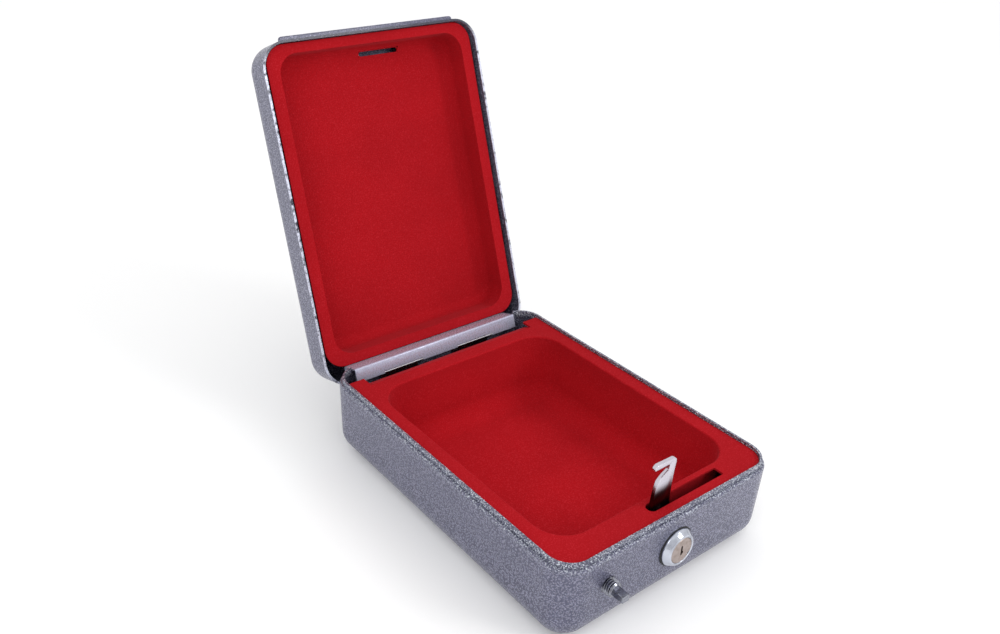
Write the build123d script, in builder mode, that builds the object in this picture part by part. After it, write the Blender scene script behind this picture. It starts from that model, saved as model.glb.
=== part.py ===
from build123d import *
import math
import os

os.makedirs("parts", exist_ok=True)

# Small car safe: a pressed steel box with a hinged lid, shown standing open.
# Origin at the centre of the underside, X to the right, Y to the rear, Z up. Millimetres.
# The lid pieces are drawn as they lie when the lid is shut, on planes turned about the hinge pin.

# Case
WIDTH = 152.4
LENGTH = 206.2
CORNER_R = 16.0
SHOULDER_Z = 46.8
DRAFT = 1.93
STEEL = 1.2
BOTTOM_R = 13.8
SHOULDER_R = 1.5
LIP_INSET = 1.8
LIP_HEIGHT = 2.84
RUN_OUT = 20.0
FRONT_Y = -LENGTH / 2
REAR_Y = LENGTH / 2
LIP_Z = SHOULDER_Z + LIP_HEIGHT

# Lid
OPEN_ANGLE = 109.6
LID_GAP = 0.5
LID_DEPTH = 29.2
LID_STEEL = 1.4
LID_DRAFT = 2.94
LID_EDGE_R = 14.0
RIM_Z = SHOULDER_Z + LID_GAP
LID_TOP_Z = RIM_Z + LID_DEPTH
PULL_REACH = 2.4
PULL_DEPTH = 3.0
PULL_THICK = 2.0
PULL_SIDE = 14.7
PULL_EDGE_R = 0.7
PULL_CORNER_R = 1.92

# Hinge
HINGE_INSET = 4.1
HINGE_DROP = 5.3
HINGE_Y = REAR_Y - HINGE_INSET
HINGE_Z = SHOULDER_Z - HINGE_DROP
PIN_D = 2.4
PIN_EDGE = 0.3
PIN_PLAY = 0.05
STRAP_STEEL = 0.9
LEAF_STEEL = 1.2
BORE_R = PIN_D / 2 + PIN_PLAY
STRAP_KNUCKLE_R = BORE_R + STRAP_STEEL
LEAF_KNUCKLE_R = BORE_R + LEAF_STEEL
STRAP_W = 27.6
STRAP_REACH = 14.5
STRAP_INSET = 34.003
KNUCKLE_GAP = 0.4
KNUCKLE_ROOM = 0.35
LEAF_SETBACK = 1.6
LEAF_ROOM = 0.2
PIN_PROUD = 0.5

# Grey channel that carries the hinge leaf on the lid
CHANNEL_SIDE = 14.6
CHANNEL_STEEL = 1.2
CHANNEL_FLANGE = 6.8
CHANNEL_HEEL = 1.9
CHANNEL_HEIGHT = 9.0
CHANNEL_TAIL = 7.0
CHANNEL_NOTCH = 1.5
CHANNEL_BEND_R = 1.0
CHANNEL_ROOM = 1.2
TAIL_GAP = 0.1
NOTCH_DROP = 1.4
CHANNEL_HALF = WIDTH / 2 - CHANNEL_SIDE
CHANNEL_FRONT_Y = HINGE_Y - CHANNEL_FLANGE
CHANNEL_REAR_Y = HINGE_Y + CHANNEL_HEEL
CHANNEL_TOP_Z = HINGE_Z - LEAF_KNUCKLE_R
CHANNEL_WEB_Z = HINGE_Z + CHANNEL_HEIGHT
CHANNEL_TAIL_Z = CHANNEL_WEB_Z + CHANNEL_TAIL
LID_WALL_LEAN = math.tan(math.radians(LID_DRAFT))
CHANNEL_TAIL_Y = REAR_Y - LID_STEEL - CHANNEL_STEEL - LID_WALL_LEAN * (CHANNEL_TAIL_Z - RIM_Z) - TAIL_GAP
NOTCH_HALF = CHANNEL_HALF + CHANNEL_ROOM
NOTCH_Z = SHOULDER_Z - NOTCH_DROP
LEAF_HALF = CHANNEL_HALF - LEAF_SETBACK
PIN_HALF = LEAF_HALF + PIN_PROUD
STRAP_X = CHANNEL_HALF - STRAP_INSET
STRAP_LOW_Z = HINGE_Z - STRAP_REACH
LEAF_FRONT_Y = CHANNEL_FRONT_Y + CHANNEL_STEEL + LEAF_ROOM

# Lock
LOCK_Z = 28.3
CORE_D = 14.6
CORE_PLAY = 0.05
CORE_SINK = 0.1
CORE_EDGE = 0.3
CORE_MARK_R = 1.1
BARREL_WALL = 1.2
BARREL_D = CORE_D + 2 * BARREL_WALL
BEZEL_STEP = 0.3
BEZEL_FLANGE = 2.2
BEZEL_FRONT_D = BARREL_D + 2 * BEZEL_STEP
BEZEL_BASE_D = BARREL_D + 2 * BEZEL_FLANGE
BEZEL_REACH = 3.9
BEZEL_EDGE = 0.5
BEZEL_SEAT = 0.2
BEZEL_BACK_Y = FRONT_Y + BEZEL_SEAT
BEZEL_FRONT_Y = BEZEL_BACK_Y - BEZEL_REACH
BARREL_LENGTH = 10.0
BARREL_BACK_Y = BEZEL_BACK_Y + BARREL_LENGTH
BARREL_PLAY = 0.15
GASKET_MARGIN = 0.6
GASKET_D = BEZEL_BASE_D + 2 * GASKET_MARGIN
GASKET_DEPTH = 2.5
NUT_WALL = 1.75
NUT_AF = BARREL_D + 2 * NUT_WALL
NUT_T = 3.6
WASHER_MARGIN = 3.7
WASHER_DEPTH = 3.0
THREAD_PLAY = 0.02
DRIVE_D = 9.0
DRIVE_FLAT = 6.8
DRIVE_FIT = 0.03
DRIVE_SINK = 0.05
STOP_T = 1.0
STOP_GAP = 0.3
STOP_SIDE = 0.6
STOP_SETBACK = 0.1
STOP_RIM = 0.2
WAFER_T = 1.0
WAFER_W = 8.0
WAFER_H = 10.0
WAFER_PITCH = 1.7
WAFER_FIRST = 3.3
WAFER_COUNT = 5
WAFER_PLAY = 0.1
KEY_SLOT_W = 1.2
KEY_SLOT_H = 5.6
KEY_SLOT_DEPTH = 10.5
KEY_STEP = 0.7
CAM_SCREW_D = 3.2
CAM_SCREW_HEAD_D = 6.8
CAM_SCREW_HEAD_T = 1.8
CAM_SCREW_END = 0.2
CAM_SLOT_W = 1.02
CAM_SLOT_L = 4.08
CAM_WASHER_D = 12.0
CAM_WASHER_T = 0.6

# Anchor stud for a tether
STUD_INSET = 29.4
STUD_X = STUD_INSET - WIDTH / 2
STUD_Z = 29.0
STUD_D = 8.5
STUD_TIP_W = 4.3
STUD_TIP_H = 3.8
STUD_REACH = 11.0
STUD_SHANK = 5.0
STUD_INNER = 8.6
STUD_PITCH = 1.0
STUD_GROOVE = 0.5
STUD_RINGS = 4
STUD_PLAY = 0.15
STUD_NUT_WALL = 2.25
STUD_NUT_AF = STUD_D + 2 * STUD_NUT_WALL
STUD_NUT_T = 4.0
STUD_WASHER_MARGIN = 3.75
STUD_WASHER_D = STUD_D + 2 * STUD_WASHER_MARGIN

# Flocked trays
FLOCK = 1.2
TRAY_GAP = 0.3
TRAY_RISE = 1.0
TRAY_SIDE = 12.7
TRAY_FRONT = 19.3
TRAY_REAR = 31.6
TRAY_INSET = LIP_INSET + STEEL + TRAY_GAP
TRAY_TOP_Z = SHOULDER_Z + TRAY_RISE
TRAY_FLOOR_Z = 5.0
TRAY_HALF = WIDTH / 2 - TRAY_SIDE
TRAY_FRONT_Y = FRONT_Y + TRAY_FRONT
TRAY_REAR_Y = REAR_Y - TRAY_REAR
TRAY_CORNER_R = 18.0
TRAY_FLOOR_R = 13.0
TRAY_DRAFT = 2.5
TRAY_EDGE_R = 1.1
TRAY_COLLAR = 2.5
WING_INSET = 15.1
WING_DEPTH = 8.0
WING_REAR_Y = REAR_Y - WING_INSET
WING_MID_Y = WING_REAR_Y - WING_DEPTH
SLOT_W = 6.2
SLOT_ROOM = 1.4
SLOT_END_ROOM = 1.9
SLOT_END_FLAT = 0.05
SLOT_END_R = 0.8
LIDTRAY_INSET = 3.7
LIDTRAY_FRONT = 1.9
LIDTRAY_RISE = 0.46
LIDTRAY_SINK = 8.2
LIDTRAY_RIM = 7.5
LIDTRAY_RIM_FRONT = 5.8
LIDTRAY_RIM_REAR = 6.3
LIDTRAY_GAP = 0.4
LIDTRAY_FRONT_Y = FRONT_Y + LIDTRAY_FRONT
LIDTRAY_REAR_Y = CHANNEL_FRONT_Y - LIDTRAY_GAP
LIDTRAY_FACE_Z = LIP_Z + LIDTRAY_RISE
LIDTRAY_FLOOR_Z = LID_TOP_Z - LIDTRAY_SINK
LIDTRAY_T = 1.0
LIDTRAY_HALF = WIDTH / 2 - LIDTRAY_INSET - LIDTRAY_RIM
LIDTRAY_POCKET_Y0 = LIDTRAY_FRONT_Y + LIDTRAY_RIM_FRONT
LIDTRAY_POCKET_Y1 = LIDTRAY_REAR_Y - LIDTRAY_RIM_REAR
LIDTRAY_CORNER_R = 12.5
LIDTRAY_FLOOR_R = 6.5

# Strike plate in the lid, and the hook that reaches over it
STRIKE_GAP = 0.3
STRIKE_T = 1.1
STRIKE_Z = LIDTRAY_FLOOR_Z + LIDTRAY_T + STRIKE_GAP
STRIKE_X0 = -0.6
STRIKE_X1 = 27.4
STRIKE_SIDE = 19.4
STRIKE_LEDGE = 12.6
STRIKE_FOOT = 10.0
STRIKE_DEPTH = 19.0
STRIKE_INSET = 8.1
STRIKE_FRONT_Y = FRONT_Y + STRIKE_INSET
STRIKE_SLOT_ROOM = 0.6
STRIKE_MARGIN = 0.8
STRIKE_SLIT_ROOM = 0.8
HOOK_T = 2.2
HOOK_FRONT_Y = BARREL_BACK_Y + STOP_GAP + STOP_T
HOOK_BACK_Y = HOOK_FRONT_Y + HOOK_T
HOOK_MID_Y = (HOOK_FRONT_Y + HOOK_BACK_Y) / 2
HOOK_BOSS_R = 9.0
HOOK_NOSE_R = 2.2
HOOK_NOSE_H = 3.0
HOOK_NOSE_X = -10.9
HOOK_NOSE_GAP = 0.4
HOOK_NOSE_LEAN = 0.9
HOOK_TIP_ROUND = 1.2
HOOK_RAMP_GAP = 1.8
HOOK_THROAT_X = 0.5
HOOK_THROAT_R = 0.7
HOOK_BACK_X = 5.6
HOOK_BOW_X = 4.2
HOOK_WAIST_X = -8.6
HOOK_WAIST_DROP = 8.5
HOOK_WAIST_STEP = 1.0
HOOK_WAIST_RISE = 2.2
HOOK_CHIN_X = 7.4
HOOK_CHIN_DROP = 2.1
HOOK_CHEEK_X = 4.7
HOOK_CHEEK_DROP = 4.5
HOOK_THROAT_LEAN = 0.2
HOOK_BOW_DROP = 9.5
HOOK_BOW_RISE = 0.2
HOOK_BACK_LEAN = 0.8
HOOK_BACK_DROP = 1.7
HOOK_CROWN_FALL = 0.6
HOOK_THROAT_Z = STRIKE_Z + STRIKE_T + HOOK_NOSE_GAP
HOOK_RAMP_Z = STRIKE_Z - HOOK_RAMP_GAP
HOOK_TIP_R = math.hypot(HOOK_NOSE_X, HOOK_THROAT_Z + HOOK_NOSE_H - LOCK_Z) - HOOK_TIP_ROUND
SLOT_X0 = HOOK_WAIST_X - SLOT_END_ROOM
SLOT_X1 = math.sqrt(HOOK_TIP_R**2 - (TRAY_TOP_Z - FLOCK - LOCK_Z) ** 2) + SLOT_ROOM

# Turned frame of the lid, with coordinates equal to those of the shut lid.
ANG = math.radians(OPEN_ANGLE)
CA = math.cos(ANG)
SA = math.sin(ANG)
LID_O_Y = HINGE_Y - HINGE_Y * CA - HINGE_Z * SA
LID_O_Z = HINGE_Z + HINGE_Y * SA - HINGE_Z * CA
lid_xy = Plane(origin=(0, LID_O_Y, LID_O_Z), x_dir=(1, 0, 0), z_dir=(0, SA, CA))
lid_yz = Plane(origin=(0, LID_O_Y, LID_O_Z), x_dir=(0, CA, -SA), z_dir=(1, 0, 0))
lid_front = Plane(origin=(0, LID_O_Y, LID_O_Z), x_dir=(1, 0, 0), z_dir=(0, -CA, SA))
FOOT_Z = LID_TOP_Z - STEEL
LID_UP = Axis((0, LID_O_Y, LID_O_Z), (0, SA, CA))
base_yz = Plane(origin=(0, 0, 0), x_dir=(0, 1, 0), z_dir=(1, 0, 0))
LOCK_LINE = Axis((0, 0, LOCK_Z), (0, 1, 0))
STUD_LINE = Axis((STUD_X, 0, STUD_Z), (0, 1, 0))
lock_side = Plane(origin=(0, 0, LOCK_Z), x_dir=(0, 1, 0), z_dir=(1, 0, 0))
stud_side = Plane(origin=(STUD_X, 0, STUD_Z), x_dir=(0, 1, 0), z_dir=(1, 0, 0))


def down(z):
    """Level plane at height z that faces down, with local y to the rear and local x to the left."""
    return Plane(origin=(0, 0, z), x_dir=(-1, 0, 0), z_dir=(0, 0, -1))


def upright(y, x=0.0, z=0.0):
    """Upright plane that faces the front, with local x to the right and local y up."""
    return Plane(origin=(x, y, z), x_dir=(1, 0, 0), z_dir=(0, -1, 0))


# Outer form of the case, and the hollow inside it.
with BuildPart() as case_form:
    with BuildSketch(down(SHOULDER_Z)):
        RectangleRounded(WIDTH, LENGTH, CORNER_R)
    extrude(amount=SHOULDER_Z, taper=DRAFT)
    fillet(case_form.edges().group_by(Axis.Z)[0], BOTTOM_R)

with BuildPart() as case_hollow:
    with BuildSketch(down(SHOULDER_Z - STEEL)):
        RectangleRounded(WIDTH - 2 * STEEL, LENGTH - 2 * STEEL, CORNER_R - STEEL)
    extrude(amount=SHOULDER_Z - 2 * STEEL, taper=DRAFT)
    fillet(case_hollow.edges().group_by(Axis.Z)[0], BOTTOM_R - STEEL)

# Pressed case with a stepped lip, notched at the rear for the channel on the lid.
with BuildPart() as base_shell:
    add(case_form.part)
    fillet(base_shell.edges().group_by(Axis.Z)[-1], SHOULDER_R)
    with BuildSketch(Plane.XY.offset(SHOULDER_Z - STEEL)):
        RectangleRounded(WIDTH - 2 * LIP_INSET, LENGTH - 2 * LIP_INSET, CORNER_R - LIP_INSET)
    extrude(amount=LIP_HEIGHT + STEEL)
    add(case_hollow.part, mode=Mode.SUBTRACT)
    with BuildSketch(Plane.XY.offset(SHOULDER_Z - 2 * STEEL)):
        RectangleRounded(
            WIDTH - 2 * (LIP_INSET + STEEL),
            LENGTH - 2 * (LIP_INSET + STEEL),
            CORNER_R - LIP_INSET - STEEL,
        )
    extrude(amount=LIP_HEIGHT + 3 * STEEL, mode=Mode.SUBTRACT)
    with BuildSketch(Plane.XY.offset(NOTCH_Z)):
        with Locations((0, REAR_Y)):
            Rectangle(2 * NOTCH_HALF, 4 * HINGE_INSET)
    extrude(amount=RUN_OUT, mode=Mode.SUBTRACT)
    with BuildSketch(upright(BARREL_BACK_Y, 0, LOCK_Z)):
        Circle(BARREL_D / 2 + BARREL_PLAY)
    extrude(amount=RUN_OUT, mode=Mode.SUBTRACT)
    with BuildSketch(upright(BARREL_BACK_Y, STUD_X, STUD_Z)):
        Circle(STUD_D / 2 + STUD_PLAY)
    extrude(amount=RUN_OUT, mode=Mode.SUBTRACT)

# Recess of the case tray.
with BuildPart() as tray_pocket:
    with BuildSketch(down(TRAY_TOP_Z)):
        with Locations((0, (TRAY_FRONT_Y + TRAY_REAR_Y) / 2)):
            RectangleRounded(2 * TRAY_HALF, TRAY_REAR_Y - TRAY_FRONT_Y, TRAY_CORNER_R)
    extrude(amount=TRAY_TOP_Z - TRAY_FLOOR_Z, taper=TRAY_DRAFT)
    fillet(tray_pocket.edges().group_by(Axis.Z)[0], TRAY_FLOOR_R)

# Whole moulding of the case tray: a broad flange, a deep recess and a slot over the hook.
with BuildPart() as tray_form:
    with BuildSketch(down(TRAY_TOP_Z)):
        with Locations((0, (TRAY_FRONT_Y + TRAY_REAR_Y) / 2)):
            RectangleRounded(
                2 * (TRAY_HALF + FLOCK),
                TRAY_REAR_Y - TRAY_FRONT_Y + 2 * FLOCK,
                TRAY_CORNER_R + FLOCK,
            )
    extrude(amount=TRAY_TOP_Z - TRAY_FLOOR_Z + FLOCK, taper=TRAY_DRAFT)
    fillet(tray_form.edges().group_by(Axis.Z)[0], TRAY_FLOOR_R + FLOCK)
    with BuildSketch(down(TRAY_TOP_Z)) as flange:
        with Locations((0, (FRONT_Y + TRAY_INSET + WING_REAR_Y) / 2)):
            Rectangle(WIDTH - 2 * TRAY_INSET, WING_REAR_Y - FRONT_Y - TRAY_INSET)
        fillet(flange.vertices().group_by(Axis.Y)[0], CORNER_R - TRAY_INSET)
        with Locations((0, WING_REAR_Y)):
            Rectangle(2 * (NOTCH_HALF - CHANNEL_ROOM), 2 * (WING_REAR_Y - WING_MID_Y), mode=Mode.SUBTRACT)
    extrude(amount=FLOCK)
    add(tray_pocket.part, mode=Mode.SUBTRACT)
    mouth = tray_form.edges().filter_by_position(Axis.Z, TRAY_TOP_Z - 0.01, TRAY_TOP_Z + 0.01)
    mouth = mouth.filter_by(
        lambda e: abs(e.center().X) < TRAY_HALF + 0.1
        and TRAY_FRONT_Y - 0.1 < e.center().Y < TRAY_REAR_Y + 0.1
    )
    fillet(mouth, TRAY_EDGE_R)
    with BuildSketch(down(TRAY_TOP_Z + 1)) as hook_slot:
        with Locations((-(SLOT_X0 + SLOT_X1) / 2, HOOK_MID_Y)):
            Rectangle(SLOT_X1 - SLOT_X0, SLOT_W)
        fillet(hook_slot.vertices().group_by(Axis.X)[-1], SLOT_W / 2 - SLOT_END_FLAT)
        fillet(hook_slot.vertices().group_by(Axis.X)[0], SLOT_END_R)
    extrude(amount=FLOCK + 2, mode=Mode.SUBTRACT)

# Prism round the recess, where the collar of the recess meets the flange.
with BuildPart() as collar_form:
    with BuildSketch(Plane.XY.offset(TRAY_FLOOR_Z - 3 * FLOCK)):
        with Locations((0, (TRAY_FRONT_Y + TRAY_REAR_Y) / 2)):
            RectangleRounded(
                2 * (TRAY_HALF + TRAY_COLLAR),
                TRAY_REAR_Y - TRAY_FRONT_Y + 2 * TRAY_COLLAR,
                TRAY_CORNER_R + TRAY_COLLAR,
            )
    extrude(amount=TRAY_TOP_Z)

# Flocked recess of the case, with its rounded collar.
with BuildPart() as base_liner:
    add(tray_form.part)
    add(collar_form.part, mode=Mode.INTERSECT)

# Flocked flange round it, slotted for the hook.
with BuildPart() as base_liner_flange:
    add(tray_form.part)
    add(collar_form.part, mode=Mode.SUBTRACT)

# Hinge straps fixed to the rear wall, each rolled round the pin.
with BuildPart() as base_hinge_straps:
    for side in (-1, 1):
        with BuildSketch(base_yz.offset(side * STRAP_X - STRAP_W / 2)):
            with Locations((HINGE_Y, HINGE_Z)):
                Circle(STRAP_KNUCKLE_R)
            with Locations((HINGE_Y + BORE_R + STRAP_STEEL / 2, (HINGE_Z + STRAP_LOW_Z) / 2)):
                Rectangle(STRAP_STEEL, HINGE_Z - STRAP_LOW_Z)
            with Locations((HINGE_Y, HINGE_Z)):
                Circle(BORE_R, mode=Mode.SUBTRACT)
        extrude(amount=STRAP_W)

with BuildPart() as hinge_pin:
    with BuildSketch(base_yz.offset(-PIN_HALF)):
        with Locations((HINGE_Y, HINGE_Z)):
            Circle(PIN_D / 2)
    extrude(amount=2 * PIN_HALF)
    chamfer(hinge_pin.edges(), PIN_EDGE)

# Pressed lid.
with BuildPart() as lid_hollow:
    with BuildSketch(lid_xy.offset(RIM_Z)):
        RectangleRounded(WIDTH - 2 * LID_STEEL, LENGTH - 2 * LID_STEEL, CORNER_R - LID_STEEL)
    extrude(amount=LID_DEPTH - STEEL, taper=LID_DRAFT)
    fillet(lid_hollow.edges().group_by(LID_UP)[-1], LID_EDGE_R - LID_STEEL)

with BuildPart() as lid_shell:
    with BuildSketch(lid_xy.offset(RIM_Z)):
        RectangleRounded(WIDTH, LENGTH, CORNER_R)
    extrude(amount=LID_DEPTH, taper=LID_DRAFT)
    fillet(lid_shell.edges().group_by(LID_UP)[-1], LID_EDGE_R)
    with BuildSketch(lid_xy.offset(RIM_Z + PULL_DEPTH)):
        with Locations((0, FRONT_Y + CORNER_R / 2 - PULL_REACH / 2)):
            RectangleRounded(WIDTH - 2 * PULL_SIDE, CORNER_R + PULL_REACH, PULL_CORNER_R)
    extrude(amount=PULL_THICK)
    pull_edges = lid_shell.edges().sort_by(Axis(lid_xy.origin, lid_yz.x_dir))[:4]
    fillet(pull_edges.filter_by(Axis.X), PULL_EDGE_R)
    add(lid_hollow.part, mode=Mode.SUBTRACT)

# Channel across the rear of the lid; its tail lies against the rear wall of the lid.
with BuildPart() as hinge_channel:
    with BuildSketch(lid_yz.offset(-CHANNEL_HALF)):
        with BuildLine():
            Polyline(
                (CHANNEL_REAR_Y, CHANNEL_TOP_Z - CHANNEL_STEEL),
                (CHANNEL_FRONT_Y, CHANNEL_TOP_Z - CHANNEL_STEEL),
                (CHANNEL_FRONT_Y, CHANNEL_WEB_Z + CHANNEL_STEEL),
                (CHANNEL_TAIL_Y, CHANNEL_WEB_Z + CHANNEL_STEEL),
                (CHANNEL_TAIL_Y, CHANNEL_TAIL_Z),
                (CHANNEL_TAIL_Y + CHANNEL_STEEL, CHANNEL_TAIL_Z),
                (CHANNEL_TAIL_Y + CHANNEL_STEEL, CHANNEL_WEB_Z),
                (CHANNEL_FRONT_Y + CHANNEL_STEEL, CHANNEL_WEB_Z),
                (CHANNEL_FRONT_Y + CHANNEL_STEEL, CHANNEL_TOP_Z),
                (CHANNEL_REAR_Y, CHANNEL_TOP_Z),
                close=True,
            )
        make_face()
    extrude(amount=2 * CHANNEL_HALF)
    bends = hinge_channel.edges().filter_by(Axis.X).filter_by(
        lambda e: abs((e.center() - lid_yz.origin).dot(lid_yz.x_dir) - CHANNEL_FRONT_Y) < 0.1
    )
    fillet(bends, CHANNEL_BEND_R)
    for side in (-1, 1):
        with BuildSketch(lid_xy.offset(CHANNEL_TOP_Z - 3)):
            with Locations((side * STRAP_X, CHANNEL_REAR_Y)):
                Rectangle(STRAP_W + 2 * KNUCKLE_GAP, 2 * CHANNEL_NOTCH)
        extrude(amount=4, mode=Mode.SUBTRACT)

# Hinge leaf on the channel floor with three rolled knuckles.
with BuildPart() as lid_hinge_leaf:
    with BuildSketch(lid_yz.offset(-LEAF_HALF)):
        with Locations((HINGE_Y, HINGE_Z)):
            Circle(LEAF_KNUCKLE_R)
        with Locations(((LEAF_FRONT_Y + HINGE_Y) / 2, CHANNEL_TOP_Z + LEAF_STEEL / 2)):
            Rectangle(HINGE_Y - LEAF_FRONT_Y, LEAF_STEEL)
        with Locations((HINGE_Y, HINGE_Z)):
            Circle(BORE_R, mode=Mode.SUBTRACT)
    extrude(amount=2 * LEAF_HALF)
    for side in (-1, 1):
        with BuildSketch(lid_xy.offset(HINGE_Z - 5)):
            with Locations((side * STRAP_X, HINGE_Y)):
                Rectangle(STRAP_W + 2 * KNUCKLE_GAP, 2 * (STRAP_KNUCKLE_R + 2 * KNUCKLE_ROOM))
        extrude(amount=10, mode=Mode.SUBTRACT)

# Recess of the lid tray.
with BuildPart() as lidtray_pocket:
    with BuildSketch(lid_xy.offset(LIDTRAY_FACE_Z)):
        with Locations((0, (LIDTRAY_POCKET_Y0 + LIDTRAY_POCKET_Y1) / 2)):
            RectangleRounded(
                2 * LIDTRAY_HALF,
                LIDTRAY_POCKET_Y1 - LIDTRAY_POCKET_Y0,
                LIDTRAY_CORNER_R,
            )
    extrude(amount=LIDTRAY_FLOOR_Z - LIDTRAY_FACE_Z, taper=TRAY_DRAFT)
    fillet(lidtray_pocket.edges().group_by(LID_UP)[-1], LIDTRAY_FLOOR_R)

# Flocked tray of the lid, with a slot for the hook.
with BuildPart() as lid_liner:
    with BuildSketch(lid_xy.offset(LIDTRAY_FACE_Z)):
        with Locations((0, (LIDTRAY_POCKET_Y0 + LIDTRAY_POCKET_Y1) / 2)):
            RectangleRounded(
                2 * (LIDTRAY_HALF + LIDTRAY_T),
                LIDTRAY_POCKET_Y1 - LIDTRAY_POCKET_Y0 + 2 * LIDTRAY_T,
                LIDTRAY_CORNER_R + LIDTRAY_T,
            )
    extrude(amount=LIDTRAY_FLOOR_Z + LIDTRAY_T - LIDTRAY_FACE_Z, taper=TRAY_DRAFT)
    fillet(lid_liner.edges().group_by(LID_UP)[-1], LIDTRAY_FLOOR_R + LIDTRAY_T)
    with BuildSketch(lid_xy.offset(LIDTRAY_FACE_Z)):
        with Locations((0, (LIDTRAY_FRONT_Y + LIDTRAY_REAR_Y) / 2)):
            RectangleRounded(
                WIDTH - 2 * LIDTRAY_INSET,
                LIDTRAY_REAR_Y - LIDTRAY_FRONT_Y,
                CORNER_R - LIDTRAY_INSET,
            )
    extrude(amount=LIDTRAY_T)
    add(lidtray_pocket.part, mode=Mode.SUBTRACT)
    with BuildSketch(lid_xy.offset(LIDTRAY_FACE_Z)):
        with Locations(((STRIKE_X0 + STRIKE_X1) / 2, HOOK_MID_Y)):
            Rectangle(
                STRIKE_X1 - STRIKE_X0 + 2 * STRIKE_MARGIN,
                HOOK_T + 2 * STRIKE_SLIT_ROOM,
            )
    extrude(amount=LIDTRAY_FLOOR_Z, mode=Mode.SUBTRACT)

# Strike plate: a hat section welded under the lid top, slotted for the hook.
with BuildPart() as strike_plate:
    with BuildSketch(lid_front.offset(-STRIKE_FRONT_Y - STRIKE_DEPTH)):
        with BuildLine():
            Polyline(
                (STRIKE_X0 - STRIKE_SIDE - STRIKE_FOOT, FOOT_Z),
                (STRIKE_X0 - STRIKE_SIDE - STRIKE_FOOT, FOOT_Z - STRIKE_T),
                (STRIKE_X0 - STRIKE_SIDE, FOOT_Z - STRIKE_T),
                (STRIKE_X0 - STRIKE_SIDE, STRIKE_Z),
                (STRIKE_X1 + STRIKE_LEDGE, STRIKE_Z),
                (STRIKE_X1 + STRIKE_LEDGE, FOOT_Z - STRIKE_T),
                (STRIKE_X1 + STRIKE_LEDGE + STRIKE_FOOT, FOOT_Z - STRIKE_T),
                (STRIKE_X1 + STRIKE_LEDGE + STRIKE_FOOT, FOOT_Z),
                (STRIKE_X1 + STRIKE_LEDGE - STRIKE_T, FOOT_Z),
                (STRIKE_X1 + STRIKE_LEDGE - STRIKE_T, STRIKE_Z + STRIKE_T),
                (STRIKE_X0 - STRIKE_SIDE + STRIKE_T, STRIKE_Z + STRIKE_T),
                (STRIKE_X0 - STRIKE_SIDE + STRIKE_T, FOOT_Z),
                close=True,
            )
        make_face()
    extrude(amount=STRIKE_DEPTH)
    with BuildSketch(lid_xy.offset(STRIKE_Z - 1)):
        with Locations(((STRIKE_X0 + STRIKE_X1) / 2, HOOK_MID_Y)):
            Rectangle(STRIKE_X1 - STRIKE_X0, HOOK_T + 2 * STRIKE_SLOT_ROOM)
    extrude(amount=3, mode=Mode.SUBTRACT)
    add(lid_hollow.part, mode=Mode.INTERSECT)

# Cam lock: bezel and barrel in one turned piece, bored for the plug, with a stop lug at the back.
with BuildPart() as lock_housing:
    with BuildSketch(lock_side):
        with BuildLine():
            Polyline(
                (BEZEL_FRONT_Y, CORE_D / 2 + CORE_PLAY),
                (BEZEL_FRONT_Y, BEZEL_FRONT_D / 2 - BEZEL_EDGE),
                (BEZEL_FRONT_Y + BEZEL_EDGE / 2, BEZEL_FRONT_D / 2),
                (BEZEL_BACK_Y - 2 * BEZEL_EDGE, BEZEL_BASE_D / 2),
                (BEZEL_BACK_Y, BEZEL_BASE_D / 2),
                (BEZEL_BACK_Y, BARREL_D / 2),
                (BARREL_BACK_Y, BARREL_D / 2),
                (BARREL_BACK_Y, CORE_D / 2 + CORE_PLAY),
                close=True,
            )
        make_face()
    revolve(axis=LOCK_LINE)
    with BuildSketch(upright(HOOK_FRONT_Y, 0, LOCK_Z)):
        Circle(BARREL_D / 2)
        Circle(CORE_D / 2 + CORE_PLAY, mode=Mode.SUBTRACT)
        with Locations((-BARREL_D / 4, -BARREL_D / 4)):
            Rectangle(BARREL_D / 2, BARREL_D / 2, mode=Mode.INTERSECT)
    extrude(amount=STOP_GAP + STOP_T)

with BuildPart() as lock_gasket:
    with BuildSketch(upright(BEZEL_BACK_Y + GASKET_DEPTH, 0, LOCK_Z)):
        Circle(GASKET_D / 2)
        Circle(BARREL_D / 2 + THREAD_PLAY, mode=Mode.SUBTRACT)
    extrude(amount=GASKET_DEPTH)
    add(case_form.part, mode=Mode.SUBTRACT)

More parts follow.
